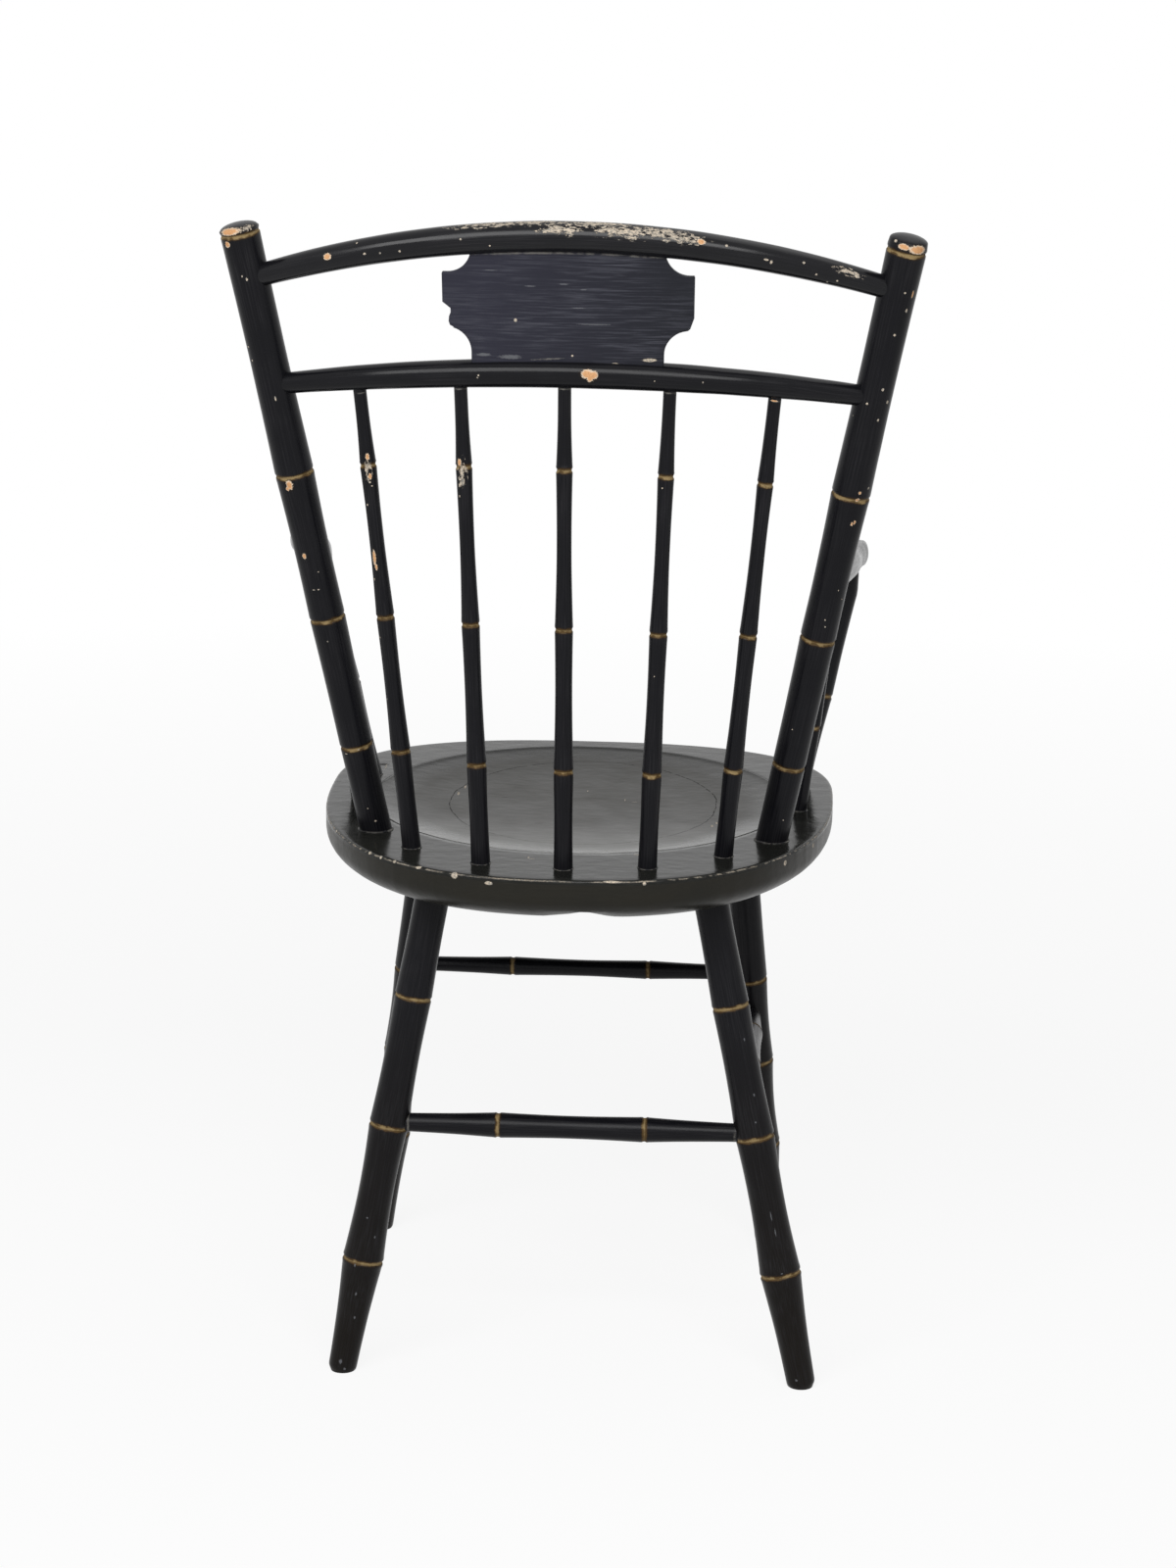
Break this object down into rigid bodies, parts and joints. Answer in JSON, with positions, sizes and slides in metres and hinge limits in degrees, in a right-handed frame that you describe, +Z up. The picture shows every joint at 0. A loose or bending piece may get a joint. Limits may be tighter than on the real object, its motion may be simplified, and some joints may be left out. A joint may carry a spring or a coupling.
{
  "type": "windsor armchair",
  "caption": "Black painted wooden armchair: bamboo-turned sticks and legs, hollowed plank seat, bowed back rails with a shaped tablet between them, slim arms on turned supports.",
  "frame": {"origin": "middle of the plan of the whole chair, on the floor", "axes": "+Z up; the sitter looks towards -Y and the back posts lean towards +Y; +X is the sitter's left"},
  "size_m": [0.5193, 0.4579, 0.9142],
  "materials": {
    "black_paint": "black paint with a soft gloss over wood, gilt lines in the ring grooves, chipped and rubbed at the edges",
    "seat_paint": "worn black paint over wood, duller and greyer in the hollow, chipped along the rim"
  },
  "bodies": {
    "root": {"seat": "seat_paint", "left_back_post": "black_paint", "right_back_post": "black_paint", "top_rail": "black_paint", "mid_rail": "black_paint", "tablet": "black_paint", "back_spindle_1": "black_paint", "back_spindle_2": "black_paint", "back_spindle_3": "black_paint", "back_spindle_4": "black_paint", "back_spindle_5": "black_paint", "left_arm": "black_paint", "right_arm": "black_paint", "left_arm_stump": "black_paint", "right_arm_stump": "black_paint", "left_arm_spindle": "black_paint", "right_arm_spindle": "black_paint", "front_left_leg": "black_paint", "front_right_leg": "black_paint", "rear_left_leg": "black_paint", "rear_right_leg": "black_paint", "front_stretcher": "black_paint", "back_stretcher": "black_paint", "left_stretcher": "black_paint", "right_stretcher": "black_paint"}
  },
  "joints": []
}
